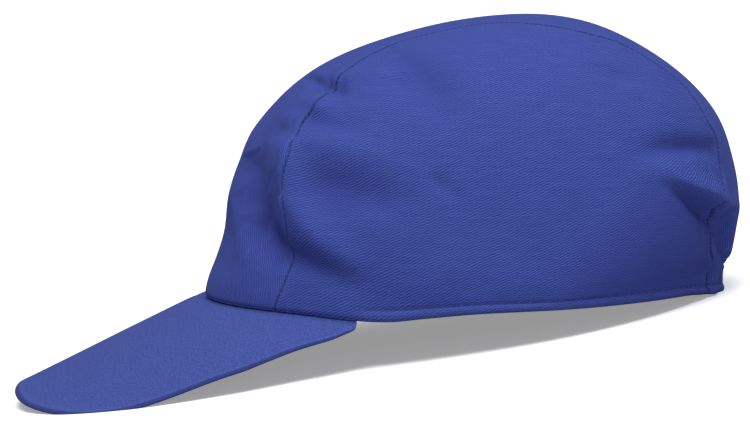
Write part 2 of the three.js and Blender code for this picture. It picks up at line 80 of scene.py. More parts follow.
# the panel's half-width, by the angle round the ear-to-ear line in degrees
centre_width = [
    (0, 52.8), (5, 54.2), (10, 54.6), (14, 54.2), (16, 53.3), (20, 54.2), (24, 54.1), (29, 51.8),
    (36, 50.2), (40, 47.3), (44, 43.4), (48, 43.2), (53, 38.2), (57, 34.6), (62, 29), (69, 23), (78, 23.8),
    (90, 24.2), (102, 31), (110, 32.6), (116, 30), (124, 29.6), (132, 30), (140, 34.5), (145, 32.5),
    (150, 35), (154, 39.2), (157, 40), (160, 37.6), (164, 36.4), (168, 35.4), (173, 29.2), (180, 26.2),
]
# height of the rim's lower edge, by y
rim_line = [
    (-98, -0.9), (-80, -1.1), (-61, -1.6), (-41, -2.9), (-29, -2.8), (-18, -1.5), (0, 0.3), (16, 1.1),
    (35, 1.4), (53, 1.7), (71, 2), (86, 2.1), (93, 1.4), (99, 0),
]
# soft folds: the side, then a run of places (y, z, how far the cloth stands out, how wide the fold is)
folds = [
    (1, [(-82.5, 33, 0, 7), (-78.5, 26.5, -2, 6.5), (-71.5, 21.6, -3.4, 6), (-61.5, 18.8, -3.1, 5.5),
         (-51, 16, -2.1, 5.5), (-43.4, 13, -1.1, 5.5), (-36, 10, 0, 6)]),
    (1, [(-70, 70, -0.3, 10), (-76.5, 60, -1.9, 12), (-80, 50, -4.4, 13.5), (-81, 39.5, -5.2, 14),
         (-78, 31.5, -5.2, 12), (-74, 25.5, -3.6, 9), (-71, 19, -1.8, 9), (-70, 12, -0.6, 9)]),
    (1, [(-66, 67, 0.9, 6), (-66.5, 57.3, 2.7, 7), (-66.5, 50, 3, 7), (-65.5, 41.2, 2.8, 7),
         (-61, 32.3, 2.4, 6.5), (-53.5, 25, 2.8, 6.5), (-45.5, 19, 2, 6), (-38, 13, 0.3, 6)]),
    (1, [(-88, 38, 0.2, 5), (-86, 29, 1, 6), (-83.5, 21, 1, 7), (-82, 14, 0.2, 7)]),
    (1, [(-64, 47, -1, 7), (-54.7, 44.5, -3.2, 8.5), (-45, 43, -3.2, 9), (-32, 41.5, -2.2, 8),
         (-18, 40, -0.3, 7)]),
    (1, [(-62, 60, 1, 7), (-47, 59, 2, 7.5), (-32, 55, 0.9, 7)]),
    (1, [(-58, 82.5, -2, 4), (-53.5, 81.5, -3.6, 4.2), (-48.5, 80, -2.8, 4), (-43.5, 78, -0.6, 4)]),
    (1, [(-62, 75.5, 0.5, 4), (-54, 73.5, 1.5, 4), (-48, 73, 0.2, 4)]),
    (1, [(-70, 64.5, -1.4, 4.5), (-66, 63.5, -2.2, 4), (-63.5, 62.5, -0.8, 3.5)]),
    (1, [(-58.5, 68, -1.4, 4), (-43.5, 66, -1.1, 5)]),
    (1, [(-48, 84, 0.6, 4), (-34, 85, 0.9, 6)]),
    (1, [(-28, 93, -1.4, 6), (-19.5, 86, -3.6, 8.5), (-12.5, 79, -2.6, 8.5), (-4, 69, -0.4, 8)]),
    (1, [(-18, 49.8, 0.2, 3), (-12.5, 48, -1.2, 3), (-7, 44.5, -0.9, 3)]),
    (1, [(-36, 5, 0, 14), (-14, 6, 1.8, 15), (12, 7, 1.8, 15), (32, 9, 0, 14)]),
    (1, [(-18, 10, -0.2, 5), (-9, 9.5, -0.8, 5), (3, 9.5, -0.9, 5), (12, 10, -0.2, 5)]),
    (1, [(45, 88, -0.3, 4), (53, 85, -1.6, 4.5), (62, 84, -0.6, 5)]),
    (1, [(60, 78, 0.3, 6), (70, 74, 1, 7), (80, 70, 0.4, 6)]),
    (1, [(62, 58.5, -0.8, 4.5), (71, 59, -3, 4.2), (81, 59, -4, 4.4), (92, 57, -2.2, 4.5)]),
    (1, [(62, 51.8, 0.3, 5), (68, 50.4, 1, 4.4), (74, 48.8, 2, 4), (80.7, 46.6, 3.1, 3.8),
         (86, 44.6, 3.9, 3.9), (91, 42.2, 3.9, 4.2), (97, 38.6, 2.9, 4.6), (101.5, 35.5, 1.6, 5),
         (103.4, 34, 0.4, 5)]),
    (1, [(84, 48.5, 0.5, 6), (91, 46, 1.5, 6.5), (96, 43.5, 1.7, 6.5)]),
    (1, [(69, 47.6, -0.2, 3), (74.5, 45, -1.2, 3), (80, 42, -2.8, 3.3), (85, 38.6, -4, 3.7),
         (90, 35, -4.6, 4), (94.5, 31, -3.9, 4.2), (97.4, 26.4, -2.9, 4.6), (98.8, 21.6, -2.6, 5),
         (99.4, 16, -2.4, 5.2), (99, 10, -1.2, 5.5)]),
    (1, [(100, 30, -1.6, 4.5), (100.6, 25, -3, 5), (100.2, 19, -2.8, 5), (99.2, 13, -1, 4.5)]),
    (1, [(82, 33, -0.5, 6), (90, 29, -1, 6), (94, 24, -0.6, 6)]),
    (-1, [(-80, 58, 0, 5), (-79, 50, -2, 5.5), (-76, 33, -3.4, 6), (-70, 23, -4.4, 6),
          (-63, 17, -4.4, 5.5), (-52, 14, -3, 6), (-40, 10, 0, 6)]),
    (-1, [(-68, 60, 0.4, 6), (-67, 47, 2.2, 6), (-61, 33, 2.4, 6.5), (-52, 25, 2, 6.5), (-41, 17, 0.3, 6)]),
    (-1, [(-60, 54, -0.6, 6), (-42, 50, -2, 7), (-20, 49, -0.4, 7)]),
    (-1, [(-54, 84, -1.2, 3.8), (-48, 82, -2, 3.8), (-42, 80, -0.4, 4)]),
    (-1, [(-24, 90, -0.6, 5), (-12, 80, -1.6, 6), (-2, 71, -0.3, 6)]),
    (-1, [(62, 60, -0.6, 5), (84, 57, -2, 4.5)]),
    (-1, [(58, 51, 0.4, 5), (76, 45.5, 2.4, 4.5), (93, 38, 1.6, 4.5)]),
    (-1, [(64, 41, -0.7, 4), (79, 36, -4, 4.5), (88, 29, -5.2, 5), (94, 24, -3.8, 5)]),
]
# folds that hang over the cloth below them: the last two values are how far they sag and how wide that is
overhangs = [
    (1, [(68, 51, 0.1, 4), (74, 49.6, 0.9, 4), (81, 47.4, 2, 4), (88, 44.6, 2.6, 4.2),
         (94, 41.2, 2.7, 4.6), (98, 38.2, 2.6, 5), (102, 35.6, 2, 5), (103.8, 34, 1, 5)]),
    (1, [(-80, 36, 0, 6), (-74, 29, 0.8, 6), (-64, 23.5, 0.9, 5.5), (-52, 20, 0.5, 5.5), (-42, 16, 0, 5)]),
]


def smoothstep(value, low, high):
    """Rises from 0 at `low` to 1 at `high`, and is level at both ends."""
    t = np.clip((value - low) / (high - low), 0, 1)
    return t * t * (3 - 2 * t)


def along_table(rows, value):
    """Reads a table of (place, size) rows as a smooth curve through them."""
    at, out = np.array(rows, float).T
    slope = np.zeros(len(at))
    slope[1:-1] = (out[2:] - out[:-2]) / (at[2:] - at[:-2])
    slope[0] = (out[1] - out[0]) / (at[1] - at[0])
    slope[-1] = (out[-1] - out[-2]) / (at[-1] - at[-2])
    i = np.clip(np.searchsorted(at, value, side="right") - 1, 0, len(at) - 2)
    span = at[i + 1] - at[i]
    t = np.clip((value - at[i]) / span, 0, 1)
    t2, t3 = t * t, t * t * t
    return ((2 * t3 - 3 * t2 + 1) * out[i] + (t3 - 2 * t2 + t) * span * slope[i]
            + (3 * t2 - 2 * t3) * out[i + 1] + (t3 - t2) * span * slope[i + 1])


def profile_rays():
    """Angle and length of the rays from the ear-to-ear line out to the centre line."""
    p = np.array(profile, float)
    p = np.vstack([2 * p[0] - p[1], p, 2 * p[-1] - p[-2]])
    t = np.linspace(0, len(profile) - 1, ray_count)
    i = np.minimum(t.astype(int), len(profile) - 2)
    f = (t - i)[:, None]
    a, b, c, d = p[i], p[i + 1], p[i + 2], p[i + 3]
    line = 0.5 * (2 * b + (c - a) * f + (2 * a - 5 * b + 4 * c - d) * f**2
                  + (3 * b - a - 3 * c + d) * f**3)
    return np.arctan2(line[:, 1], ear_y - line[:, 0]), np.hypot(line[:, 1], line[:, 0] - ear_y)


ray_angle, ray_reach = profile_rays()


def reach(angle):
    """Length of the ray at an angle; past the ends the first and last stretch go straight on."""
    i = np.clip(np.searchsorted(ray_angle, angle, side="right") - 1, 0, len(ray_angle) - 2)
    share = (angle - ray_angle[i]) / (ray_angle[i + 1] - ray_angle[i])
    return ray_reach[i] + (ray_reach[i + 1] - ray_reach[i]) * share


def ray_turn(y, z):
    """Angle of the ray through a place: 0 at the front of the rim, a half turn at the back."""
    angle = np.arctan2(z, ear_y - y)
    return np.where(angle < -math.pi / 2, angle + 2 * math.pi, angle)


def fullness(angle):
    """Powers of the dome's curves at an angle, across the head and out along the ray."""
    lift = np.sin(np.clip(angle, 0, math.pi)) ** fuller["rise"]
    return plain_power + fuller["across"] * lift, plain_power + fuller["along"] * lift


def dome_at(angle, x):
    """The place on the plain dome at an angle, `x` to the left of the centre line."""
    across, along = fullness(angle)
    share = np.maximum(1 - (np.abs(x) / rim_half_width) ** across, 0)
    r = reach(angle) * share ** (1 / along)
    return np.stack([x + 0 * r, ear_y - r * np.cos(angle), r * np.sin(angle)], -1)


def dome_side(side, y, z):
    """The place on the left, 1, or right, -1, of the plain dome that is seen at y and z from the side."""
    angle = ray_turn(y, z)
    across, along = fullness(angle)
    share = np.maximum(1 - (np.hypot(y - ear_y, z) / reach(angle)) ** along, 0)
    return np.stack([side * rim_half_width * share ** (1 / across), y, z], -1)


def outside(x, y, z):
    """How far outside the plain dome a place is, as a share."""
    angle = ray_turn(y, z)
    across, along = fullness(angle)
    return (np.hypot(y - ear_y, z) / reach(angle)) ** along + (np.abs(x) / rim_half_width) ** across - 1


def dome_normal(p):
    """The direction straight out of the plain dome."""
    step = 0.4
    x, y, z = p[..., 0], p[..., 1], p[..., 2]
    n = np.stack([outside(x + step, y, z) - outside(x - step, y, z),
                  outside(x, y + step, z) - outside(x, y - step, z),
                  outside(x, y, z + step) - outside(x, y, z - step)], -1)
    return n / np.linalg.norm(n, axis=-1, keepdims=True)


def fold_push(p, side, run):
    """How far one fold moves the cloth: its run, seen from the side, is lifted on to the dome."""
    nearest = np.full(p.shape[:-1], np.inf)
    out = np.zeros(p.shape[:-1])
    wide = np.ones(p.shape[:-1])
    for a, b in zip(run, run[1:]):
        dy, dz = b[0] - a[0], b[1] - a[1]
        t = np.clip(((p[..., 1] - a[0]) * dy + (p[..., 2] - a[1]) * dz) / (dy * dy + dz * dz), 0, 1)
        on = dome_side(side, a[0] + dy * t, a[1] + dz * t)
        distance = np.linalg.norm(on - p, axis=-1)
        closer = distance < nearest
        nearest = np.where(closer, distance, nearest)
        out = np.where(closer, a[2] + (b[2] - a[2]) * t, out)
        wide = np.where(closer, a[3] + (b[3] - a[3]) * t, wide)
    return out * np.exp(-((nearest / wide) ** 2))


def gather_push(p):
    """Upright gathers where the elastic draws the back of the rim in."""
    x, y, z = p[..., 0], p[..., 1], p[..., 2]
    edge = gathers["half_width"]
    back = smoothstep(y, gathers["from_y"], gathers["full_y"])
    back = back * (1 - smoothstep(np.abs(x), edge - gathers["fade"], edge))
    low = 1 - smoothstep(z, gathers["full_below"], gathers["height"])
    return gathers["depth"] * back * low * np.cos(2 * math.pi * x / gathers["pitch"])


def draw_push(p):
    """The lower sides lean in towards the back, where the elastic is."""
    back = smoothstep(p[..., 1] - p[..., 2], draw_in["from"], draw_in["full"])
    beside = smoothstep(np.abs(p[..., 0]), draw_in["clear_x"], draw_in["full_x"])
    return -draw_in["depth"] * back * beside


def dress(p, extra=0.0):
    """Moves places on the plain dome to the outside of the cloth, as worn; also says how far."""
    push = sum(fold_push(p, side, run) for side, run in folds) * smoothstep(p[..., 2], *fold_fade)
    push = push + gather_push(p) + draw_push(p)
    moved = p + dome_normal(p) * np.asarray(push + extra)[..., None]
    moved[..., 2] += along_table(rim_line, p[..., 1]) * np.clip(1 - p[..., 2] / rim_line_reach, 0, 1) ** 2
    moved[..., 2] -= sum(fold_push(p, side, run) for side, run in overhangs)
    return moved, push


def through_cloth(p, depth):
    """Places `depth` below the finished outside of the cloth."""
    step = 0.3
    n = dome_normal(p)
    # the small sideways share gives the level direction where the dome faces straight up
    across = np.cross([0, 0, 1], n) + [1e-6, 0, 0]
    across /= np.linalg.norm(across, axis=-1, keepdims=True)
    along = np.cross(n, across)
    u = dress(p + across * step)[0] - dress(p - across * step)[0]
    v = dress(p + along * step)[0] - dress(p - along * step)[0]
    square = np.cross(u, v)
    return dress(p)[0] - square / np.linalg.norm(square, axis=-1, keepdims=True) * depth


def lie(p):
    """Tips a worn shape back on to the table, flattens what would go under it, and gives metres."""
    c, s = math.cos(rest_tip_back), math.sin(rest_tip_back)
    y = p[..., 1] * c + p[..., 2] * s + rest_forward
    z = np.maximum(p[..., 2] * c - p[..., 1] * s + rest_lift, 0)
    return np.stack([p[..., 0], y, z], -1) * mm


def spaced(count, dense):
    """Steps from -1 to 1 that lie closer together towards both ends."""
    t = np.linspace(-1, 1, count + 1)
    return (1 - dense) * t + dense * np.sin(t * math.pi / 2)


def seam_push(p):
    """The edges of a seam turn in, and its stitches pucker the cloth beside it.

    Also says how far each place is from the seam, and how far along it.
    """
    batches = 40
    flat = p.reshape(-1, 3)
    away = np.full(len(flat), np.inf)
    place = np.zeros(len(flat))
    deg = np.linspace(0, 180, seam_steps)
    for side in (1, -1):
        line = dome_at(np.radians(deg), side * along_table(centre_width, deg))
        run = np.concatenate([[0], np.cumsum(np.linalg.norm(np.diff(line, axis=0), axis=1))])
        near = np.nonzero(side * flat[:, 0] > 0)[0]
        for part in np.array_split(near, batches):
            d = np.linalg.norm(flat[part, None] - line[None], axis=2)
            k = d.argmin(1)
            away[part] = d[np.arange(len(part)), k]
            place[part] = run[k]
    away, place = away.reshape(p.shape[:-1]), place.reshape(p.shape[:-1])
    form = seam_form
    turned_in = -form["deep"] * np.exp(-((away / form["wide"]) ** 2))
    allowance = form["allowance"] * np.exp(-(((away - form["allowance_at"]) / form["allowance_wide"]) ** 2))
    stitch = np.cos(2 * math.pi * (place / form["stitch"] + form["uneven"] * np.sin(place / form["wander"])))
    pucker = -form["pucker"] * (0.5 + 0.5 * stitch) * np.exp(-away / form["pucker_wide"])
    return turned_in + allowance + pucker, away, place


def free_rim(y):
    """0 along the peak's seam, and 1 where the rim is free."""
    return smoothstep(y, peak_end_y, peak_end_y + rim_fade)


def hem_push(p):
    """The turned-up hem: a soft roll below its row of stitches."""
    form, up, free = hem_form, p[..., 2], free_rim(p[..., 1])
    row = form["stitches_at"]
    roll = form["roll"] * np.sin(math.pi * np.clip(up / row, 0, 1)) * (up < row)
    stitched = -form["dent"] * np.exp(-(((up - row) / form["dent_wide"]) ** 2))
    edge = -form["edge"] * np.exp(-((up / form["edge_wide"]) ** 2))
    edge = edge - form["over_peak"] * (1 - free) * np.exp(-((up / form["over_peak_wide"]) ** 2))
    return free * (roll + stitched) + edge


def plain_piece(name, points, faces, lay, masks, material):
    """An object from its points and faces, with where each point lies on the flat cloth, and its masks."""
    mesh = bpy.data.meshes.new(name)
    mesh.from_pydata(points.tolist(), [], faces)
    mesh.polygons.foreach_set("use_smooth", [True] * len(mesh.polygons))
    corner = np.zeros(len(mesh.loops), int)
    mesh.loops.foreach_get("vertex_index", corner)
    mesh.uv_layers.new(name="lay").data.foreach_set("uv", lay[corner].ravel())
    for mask, values in masks.items():
        mesh.attributes.new(mask, "FLOAT", "POINT").data.foreach_set("value", values)
    mesh.materials.append(material)
    piece = bpy.data.objects.new(name, mesh)
    bpy.context.scene.collection.objects.link(piece)
    return piece


def shell(name, outer, inner, on_rim, lay, masks, material, flip):
    """A closed piece of cloth between two grids of points, with an edge that is rounded at the rim."""
    low_edge, low_round, high_round = 0.03, 0.3, 0.03
    rows, columns = outer.shape[:2]
    ring = ([(r, 0) for r in range(rows)] + [(rows - 1, c) for c in range(1, columns)]
            + [(r, columns - 1) for r in range(rows - 2, -1, -1)]
            + [(0, c) for c in range(columns - 2, 0, -1)])
    r, c = np.array(ring).T
    r_in, c_in = np.clip(r, 1, rows - 2), np.clip(c, 1, columns - 2)
    away = outer[r, c] - outer[r_in, c_in]
    away /= np.maximum(np.linalg.norm(away, axis=1, keepdims=True), 1e-9)
    bulge = np.where(outer[r, c, 2] < low_edge, low_round, high_round) * on_rim[r, c] * cloth_wall * mm
    middle = (outer[r, c] + inner[r, c]) / 2 + away * bulge[:, None]
    middle[:, 2] = np.maximum(middle[:, 2], 0)
    index = np.arange(rows * columns).reshape(rows, columns)
    here, beside, across, above = index[:-1, :-1], index[:-1, 1:], index[1:, 1:], index[1:, :-1]
    front = np.stack([here, beside, across, above], -1).reshape(-1, 4)
    behind = np.stack([here, above, across, beside], -1).reshape(-1, 4) + rows * columns
    loop = index[r, c]
    after = np.roll(loop, -1)
    mid = 2 * rows * columns + np.arange(len(loop))
    mid_after = np.roll(mid, -1)
    rounded = np.vstack([np.stack([loop, mid, mid_after, after], -1),
                         np.stack([mid, loop + rows * columns, after + rows * columns, mid_after], -1)])
    faces = np.vstack([front, behind, rounded])
    if flip:
        faces = faces[:, ::-1]
    points = np.vstack([outer.reshape(-1, 3), inner.reshape(-1, 3), middle])
    lay = np.vstack([lay.reshape(-1, 2), lay.reshape(-1, 2), lay[r, c]])
    masks = {k: np.concatenate([v.ravel(), v.ravel(), v[r, c]]) for k, v in masks.items()}
    return plain_piece(name, points, faces.tolist(), lay, masks, material)


def panel(name, base, lay, material, flip):
    """A panel of the crown from its places on the plain dome."""
    seam, away, seam_run = seam_push(base)
    worn, push = dress(base, seam + hem_push(base))
    outer = lie(worn)
    smooth = dress(base)[0]
    inner = lie(through_cloth(base, cloth_wall))
    patch = np.cross(np.diff(smooth, axis=0)[:, :-1], np.diff(smooth, axis=1)[:-1])
    area = np.linalg.norm(patch, axis=-1).sum() * mm * mm
    y, up = base[..., 1], base[..., 2]
    beside_seam = np.exp(-(((away - 1.2) / 0.8) ** 2))
    on_hem = free_rim(y) * np.exp(-(((up - 1) / 1.2) ** 2))
    # the seam's painted shade line is twice as wide over the top and at the back
    slanted = np.maximum(smoothstep(up, 55, 85), smoothstep(y, 60, 80))
    masks = {
        "rubbed": 0.25 * beside_seam + 0.5 * on_hem,
        # painted shade: the cloth is coloured darker where the folds, the gathers and the drawn-in back push
        # it inward
        "painted_fold_shade": np.clip(-push / 6, 0, 0.7),
        # painted shade: a dark line in the groove of each seam
        "painted_seam_shade": np.exp(-((away / (0.4 + 0.4 * slanted)) ** 2)),
        "seam_run": seam_run,
    }
    on_rim = np.exp(-((up / 2) ** 2))
    return shell(name, outer, inner, on_rim, lay, masks, material, flip), area


class Nodes:
    """Short ways to add and join nodes in one tree."""

    def __init__(self, tree):
        self.tree = tree

    def add(self, kind, inputs=None, **settings):
        made = self.tree.nodes.new(kind)
        for key, value in settings.items():
            setattr(made, key, value)
        for key, value in (inputs or {}).items():
            self.put(made.inputs[key], value)
        return made

    def put(self, socket, value):
        if isinstance(value, bpy.types.NodeSocket):
            self.tree.links.new(value, socket)
        else:
            socket.default_value = value

    def maths(self, operation, *values):
        return self.add("ShaderNodeMath", dict(enumerate(values)), operation=operation).outputs[0]

    def swing(self, value):
        """A wave from 0 to 1 with its crest at whole numbers."""
        turned = self.maths("MULTIPLY", value, 2 * math.pi)
        return self.maths("MULTIPLY_ADD", self.maths("COSINE", turned), 0.5, 0.5)

    def noise(self, vector, scale, detail):
        made = self.add("ShaderNodeTexNoise", {"Vector": vector, "Scale": scale, "Detail": detail})
        return made.outputs["Fac"]

    def mask(self, name):
        return self.add("ShaderNodeAttribute", attribute_name=name).outputs["Fac"]

    def blend(self, share, first, second):
        made = self.add("ShaderNodeMix", data_type="RGBA")
        for key, value in (("Factor", share), ("A", first), ("B", second)):
            self.put(next(s for s in made.inputs if s.name == key and s.enabled), value)
        return next(s for s in made.outputs if s.enabled)


def twill_weave():
    """Slanting wales made of short floats, over slightly uneven yarn. The lay is in centimetres."""
    weft_pitch = 0.097
    tree = bpy.data.node_groups.new("twill weave", "ShaderNodeTree")
    tree.interface.new_socket("Lay", in_out="INPUT", socket_type="NodeSocketVector")
    for name, value in (("Wale pitch", 0.087), ("Wale angle", 0.42), ("Float length", 0.17),
                        ("Unevenness", 0.5), ("Weft", 0.24)):
        tree.interface.new_socket(name, in_out="INPUT", socket_type="NodeSocketFloat").default_value = value
    for name in ("Height", "Shade"):
        tree.interface.new_socket(name, in_out="OUTPUT", socket_type="NodeSocketFloat")
    n = Nodes(tree)
    given = n.add("NodeGroupInput").outputs
    lay = n.add("ShaderNodeSeparateXYZ", {0: given["Lay"]}).outputs
    sine, cosine = n.maths("SINE", given["Wale angle"]), n.maths("COSINE", given["Wale angle"])
    drift = n.maths("MULTIPLY_ADD", n.noise(given["Lay"], 1.1, 2.0), 0.16, -0.08)
    along = n.maths("MULTIPLY_ADD", lay[1], sine, n.maths("MULTIPLY", lay[0], cosine))
    across = n.maths("SUBTRACT", n.maths("MULTIPLY", lay[1], cosine), n.maths("MULTIPLY", lay[0], sine))
    wale_place = n.maths("DIVIDE", n.maths("ADD", across, drift), given["Wale pitch"])
    float_place = n.maths("MULTIPLY_ADD", wale_place, 0.5, n.maths("DIVIDE", along, given["Float length"]))
    wale, floats = n.swing(wale_place), n.swing(float_place)
    weft_place = n.maths("DIVIDE", n.maths("ADD", lay[1], drift), weft_pitch)
    weft = n.maths("MULTIPLY", n.swing(weft_place), given["Weft"])
    drawn_out = n.add("ShaderNodeMapping", {"Vector": given["Lay"], "Scale": (0.7, 15, 1)}).outputs[0]
    yarn = n.noise(drawn_out, 1.0, 3.0)
    fluff = n.noise(given["Lay"], 16.0, 3.0)
    uneven = n.maths("MULTIPLY", n.maths("SUBTRACT", yarn, 0.5), given["Unevenness"])
    fluffed = n.maths("MULTIPLY", n.maths("SUBTRACT", fluff, 0.5), given["Unevenness"])
    raised = n.maths("MULTIPLY", wale, n.maths("MULTIPLY_ADD", floats, 0.3, 0.7))
    height = n.maths("MULTIPLY_ADD", fluffed, 0.6, n.maths("ADD", raised, weft))
    lit = n.maths("MULTIPLY_ADD", height, 0.75, 0.12)
    shade = n.maths("ADD", lit, n.maths("MULTIPLY_ADD", fluffed, 0.9, uneven))
    n.add("NodeGroupOutput", {"Height": height, "Shade": n.add("ShaderNodeClamp", {0: shade}).outputs[0]})
    return tree


weave = twill_weave()


def woven_cotton(name, values):
    """A material's name, its nodes, the cloth's lay and the twill weave with its values."""
    made = bpy.data.materials.new(name)
    made.use_nodes = True
    n = Nodes(made.node_tree)
    lay = n.add("ShaderNodeUVMap", uv_map="lay").outputs[0]
    woven = n.add("ShaderNodeGroup", node_tree=weave)
    for key, value in {"Lay": lay, **values}.items():
        n.put(woven.inputs[key], value)
    return made, n, lay, woven.outputs


def dull_surface(bsdf, sheen, sheen_roughness, sheen_tint):
    """Cotton has almost no gloss, and its fluff gives it a faint sheen."""
    bsdf.inputs["Specular IOR Level"].default_value = 0.1
    bsdf.inputs["Sheen Weight"].default_value = sheen
    bsdf.inputs["Sheen Roughness"].default_value = sheen_roughness
    bsdf.inputs["Sheen Tint"].default_value = (*sheen_tint, 1)


def blue_cotton(name, colours, values, relief):
    """Dyed cotton: deeper in colour between its wales, paler where its edges are rubbed; painted shade in
    fold hollows and seams.
    """
    dash_pitch = 1.9
    made, n, lay, woven = woven_cotton(name, values)
    dye_and_painted_shade = n.blend(woven["Shade"], (*colours["valley"], 1), (*colours["wale"], 1))
    # painted shade: a darker colour in the hollows of the folds
    dye_and_painted_shade = n.blend(n.maths("MULTIPLY", n.mask("painted_fold_shade"), 0.6), dye_and_painted_shade, (*colours["painted_fold_shade"], 1))
    # painted shade: a near-black line along the seams' grooves, broken into dashes
    dashed = n.maths("MULTIPLY_ADD", n.swing(n.maths("DIVIDE", n.mask("seam_run"), dash_pitch)), 0.62, 0.33)
    dye_and_painted_shade = n.blend(n.maths("MULTIPLY", n.mask("painted_seam_shade"), dashed), dye_and_painted_shade, (*colours["seam"], 1))
    patchy = n.maths("MULTIPLY_ADD", n.noise(lay, 9.0, 4.0), 1.2, -0.1)
    worn = n.maths("MULTIPLY", n.maths("MULTIPLY", n.mask("rubbed"), patchy), 0.5)
    bsdf = made.node_tree.nodes["Principled BSDF"]
    n.put(bsdf.inputs["Base Color"], n.blend(worn, dye_and_painted_shade, (*colours["rubbed"], 1)))
    n.put(bsdf.inputs["Roughness"], n.maths("MULTIPLY_ADD", woven["Shade"], -0.08, 0.93))
    bump = n.add("ShaderNodeBump", {"Strength": 1.0, "Distance": relief * mm, "Height": woven["Height"]})
    n.put(bsdf.inputs["Normal"], bump.outputs[0])
    dull_surface(bsdf, 0.03, 0.45, (0.45, 0.55, 1.0))
    return made


# two of these colours are painted shade: the one for the hollows of folds, and the near-black one for the
# seams' grooves
blue_twill = blue_cotton(
    "blue cotton twill",
    {"valley": (0.021, 0.033, 0.172), "wale": (0.063, 0.096, 0.378), "painted_fold_shade": (0.034, 0.042, 0.225),
     "rubbed": (0.11, 0.155, 0.46), "seam": (0.012, 0.015, 0.075)},
    {"Wale pitch": 0.087, "Wale angle": math.radians(24), "Float length": 0.17, "Unevenness": 0.5},
    relief=0.15)

centre_steps_long = 340
centre_steps_wide = 96
middle_column = centre_steps_wide // 2
deg_along = 90 * (spaced(centre_steps_long, 0.5) + 1)
centre_half = along_table(centre_width, deg_along) + seam_lap / 2
half_across = centre_half[:, None] * spaced(centre_steps_wide, 0.8)[None]
centre_base = dome_at(np.radians(deg_along)[:, None], half_across)
centre_run = np.linalg.norm(np.diff(centre_base[:, middle_column], axis=0), axis=1)
centre_run = np.concatenate([[0], np.cumsum(centre_run)])
across_run = np.cumsum(np.linalg.norm(np.diff(centre_base, axis=1), axis=2), 1)
across_run = np.concatenate([np.zeros((len(centre_run), 1)), across_run], 1)
centre_lay = np.stack([centre_run[:, None] + 0 * across_run,
                       across_run[:, [middle_column]] - across_run], -1) / 10
centre_cloth, centre_area = panel("centre_panel_cloth", centre_base, centre_lay, blue_twill, False)
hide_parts("centre_panel")
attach(centre_cloth, "root")

# Side panels: one D-shaped piece of the same twill for each side, cut with its warp level. Its curved edge
# is sewn to the centre panel, and its straight edge is turned up at the rim.

panel_front_deg = 50
panel_back_deg = 140
side_steps_long = 210
side_steps_high = 120
side_lay_steps = 40
# the steps up the front and back edges are longest at the rim
edge_quickness = 1.6


def seam_point(side, deg):
    """The side panel's edge at an angle of the seam."""
    return dome_at(np.radians(deg), side * (along_table(centre_width, deg) - seam_lap / 2))


def side_lay(side, y, z):
    """Arc lengths on the side of the dome: level from its middle, and up from the rim."""
    steps = np.linspace(0, 1, side_lay_steps)
    up = dome_side(1, y[..., None] + 0 * steps, z[..., None] * steps)
    level = dome_side(1, y[..., None] * steps, 0 * y[..., None] * steps)
    rise = np.linalg.norm(np.diff(up, axis=-2), axis=-1).sum(-1)
    run = np.linalg.norm(np.diff(level, axis=-2), axis=-1).sum(-1) * np.sign(y)
    return np.stack([side * run, rise], -1) / 10


def side_base(side):
    """A four-sided patch, seen from the side, between the rim and the front, top and back of the seam."""
    along = (spaced(side_steps_long, 0.7)[:, None] + 1) / 2
    up = (spaced(side_steps_high, 0.75)[None] + 1) / 2
    rise = 1 - (1 - up) ** edge_quickness
    corner = [seam_point(side, np.array(float(deg))) for deg in (0, 180, panel_front_deg, panel_back_deg)]
    high = seam_point(side, panel_front_deg + (panel_back_deg - panel_front_deg) * along)
    front = seam_point(side, panel_front_deg * rise)
    back = seam_point(side, 180 + (panel_back_deg - 180) * rise)
    place = []
    for axis in (1, 2):
        low = corner[0][axis] + (corner[1][axis] - corner[0][axis]) * along
        top = corner[2][axis] + (corner[3][axis] - corner[2][axis]) * along
        edges = front[..., axis] + (back[..., axis] - front[..., axis]) * along
        place.append(low + (high[..., axis] - low) * up + edges - (low + (top - low) * up))
    return dome_side(side, place[0], np.maximum(place[1], 0))


for side, name, node in ((1, "left_side_cloth", "side_panel_left"),
                         (-1, "right_side_cloth", "side_panel_right")):
    base = side_base(side)
    lay = side_lay(side, base[..., 1], base[..., 2])
    side_cloth, side_area = panel(name, base, lay, blue_twill, side > 0)
    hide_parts(node)
    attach(side_cloth, "root")

# Rim hem: the cloth of the rim turned up inside and stitched down. Behind the peak it is the strip that
# covers the raw edges of the peak's seam, so it hangs a little lower there.

hem_height = 11.0
hem_wall = 1.1
hem_clear = 0.15
hem_below_peak = 4.4
# how far before and past the peak's end the hem rises to its plain height, in radians
hem_rises = (0.12, 0.04)
hem_starts = 0.5
hem_steps_round = 420
hem_steps_high = 13
hem_round_low = 0.35
hem_round_high = 0.3
peak_end_x = 74


def rim_point(turn, z):
    """The place on the plain dome at an angle round the rim, 0 at the front, and a height above it."""
    nearest, farthest, halvings = 20.0, 140.0, 40
    turn, z = np.broadcast_arrays(np.asarray(turn, float), np.asarray(z, float))
    low, high = np.full(turn.shape, nearest), np.full(turn.shape, farthest)
    for _ in range(halvings):
        middle = (low + high) / 2
        far = outside(middle * np.sin(turn), ear_y - middle * np.cos(turn), z) > 0
        high, low = np.where(far, middle, high), np.where(far, low, middle)
    return np.stack([low * np.sin(turn), ear_y - low * np.cos(turn), z], -1)


